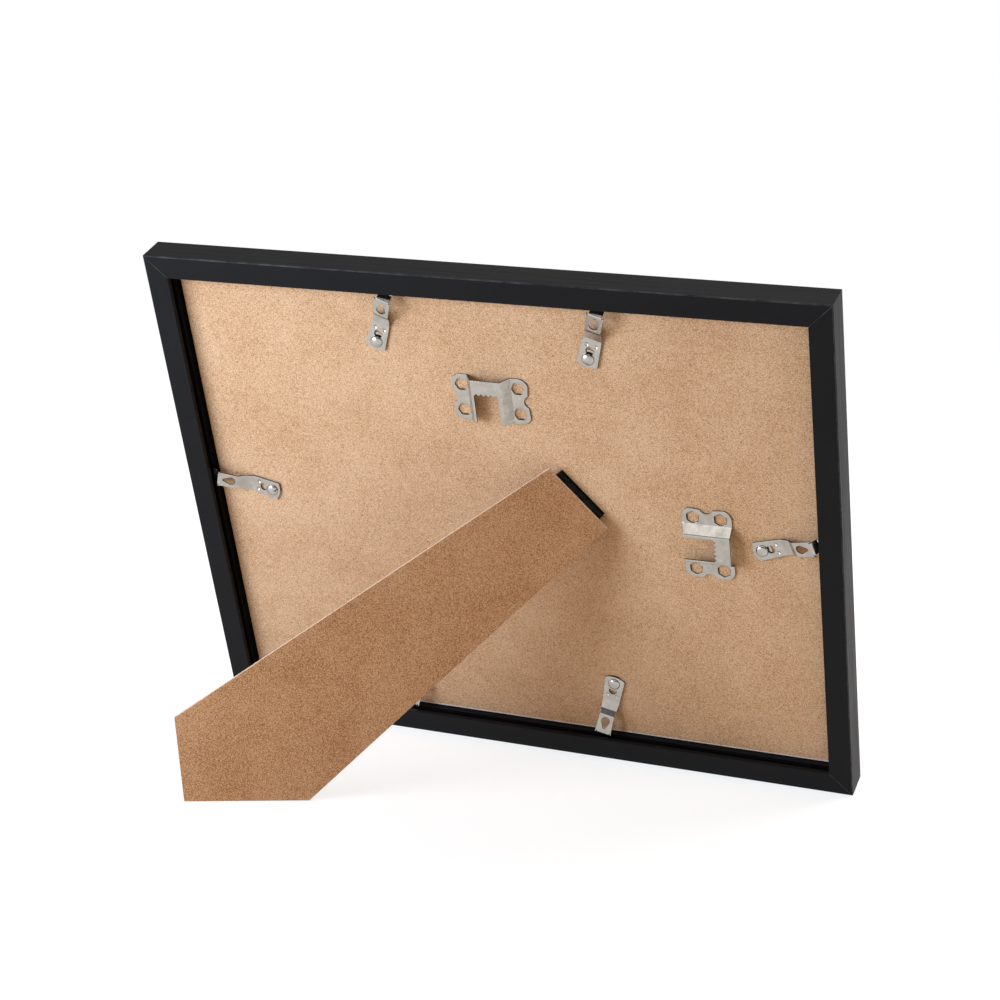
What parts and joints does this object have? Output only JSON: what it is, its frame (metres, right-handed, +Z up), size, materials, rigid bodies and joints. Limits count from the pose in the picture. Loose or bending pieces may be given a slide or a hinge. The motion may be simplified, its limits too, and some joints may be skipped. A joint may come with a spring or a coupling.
{
  "type": "easel back photo frame",
  "caption": "Black wooden photo frame seen from behind: tan fibreboard back held by plated turn clips, sawtooth hangers and a hinged brown fibreboard strut that stands it in landscape.",
  "frame": {"origin": "on the floor, midway across the frame and midway between its front bottom edge and the tip of the strut", "axes": "X across the frame, right as seen from the front; Y from the picture side back towards the strut; Z up; metres"},
  "size_m": [0.3014, 0.1453, 0.2276],
  "materials": {
    "black_moulding": "black foil-wrapped moulding, satin",
    "clear_glass": "clear float glass",
    "insert_paper": "plain matt card",
    "tan_fibreboard": "raw fibreboard, fine speckle, matt",
    "brown_fibreboard": "raw fibreboard, darker, fine speckle, matt",
    "black_hinge_steel": "black lacquered steel, satin",
    "plated_steel": "zinc-plated sheet steel, semi-bright"
  },
  "bodies": {
    "frame": {"top_rail": "black_moulding", "bottom_rail": "black_moulding", "left_stile": "black_moulding", "right_stile": "black_moulding", "glass_pane": "clear_glass", "picture_insert": "insert_paper", "backboard": "tan_fibreboard", "hinge_board_leaf": "black_hinge_steel", "hinge_board_rivets": "black_hinge_steel", "hinge_pin": "black_hinge_steel", "hanger_landscape": "plated_steel", "hanger_portrait": "plated_steel", "clip_rivets": "plated_steel"},
    "strut": {"strut": "brown_fibreboard", "hinge_strut_leaf": "black_hinge_steel"},
    "clip_top_left": {"clip_top_left": "plated_steel"},
    "clip_top_right": {"clip_top_right": "plated_steel"},
    "clip_left": {"clip_left": "plated_steel"},
    "clip_right": {"clip_right": "plated_steel"},
    "clip_bottom_left": {"clip_bottom_left": "plated_steel"},
    "clip_bottom_right": {"clip_bottom_right": "plated_steel"}
  },
  "joints": [
    {"name": "strut_fold", "type": "hinge", "parent": "frame", "child": "strut", "pos_m": [-0.0364, -0.01734, 0.12965], "axis": [-0.6587, -0.2635, -0.7048], "range_deg": [0, 37.2]},
    {"name": "clip_top_left_turn", "type": "hinge", "parent": "frame", "child": "clip_top_left", "pos_m": [0.0486, 0.0043, 0.19164], "axis": [0, 0.9367, -0.3502], "range_deg": [-69.1, 110.9]},
    {"name": "clip_top_right_turn", "type": "hinge", "parent": "frame", "child": "clip_top_right", "pos_m": [-0.0462, 0.0043, 0.19164], "axis": [0, 0.9367, -0.3502], "range_deg": [-72.6, 107.4]},
    {"name": "clip_left_turn", "type": "hinge", "parent": "frame", "child": "clip_left", "pos_m": [0.1131, -0.02412, 0.11563], "axis": [0, 0.9367, -0.3502], "range_deg": [-74, 106]},
    {"name": "clip_right_turn", "type": "hinge", "parent": "frame", "child": "clip_right", "pos_m": [-0.1147, -0.0251, 0.11301], "axis": [0, 0.9367, -0.3502], "range_deg": [-108.2, 71.8]},
    {"name": "clip_bottom_left_turn", "type": "hinge", "parent": "frame", "child": "clip_bottom_left", "pos_m": [0.048, -0.05323, 0.03775], "axis": [0, 0.9367, -0.3502], "range_deg": [-25, 112]},
    {"name": "clip_bottom_right_turn", "type": "hinge", "parent": "frame", "child": "clip_bottom_right", "pos_m": [-0.0424, -0.05323, 0.03775], "axis": [0, 0.9367, -0.3502], "range_deg": [-76.9, 103.1]}
  ]
}
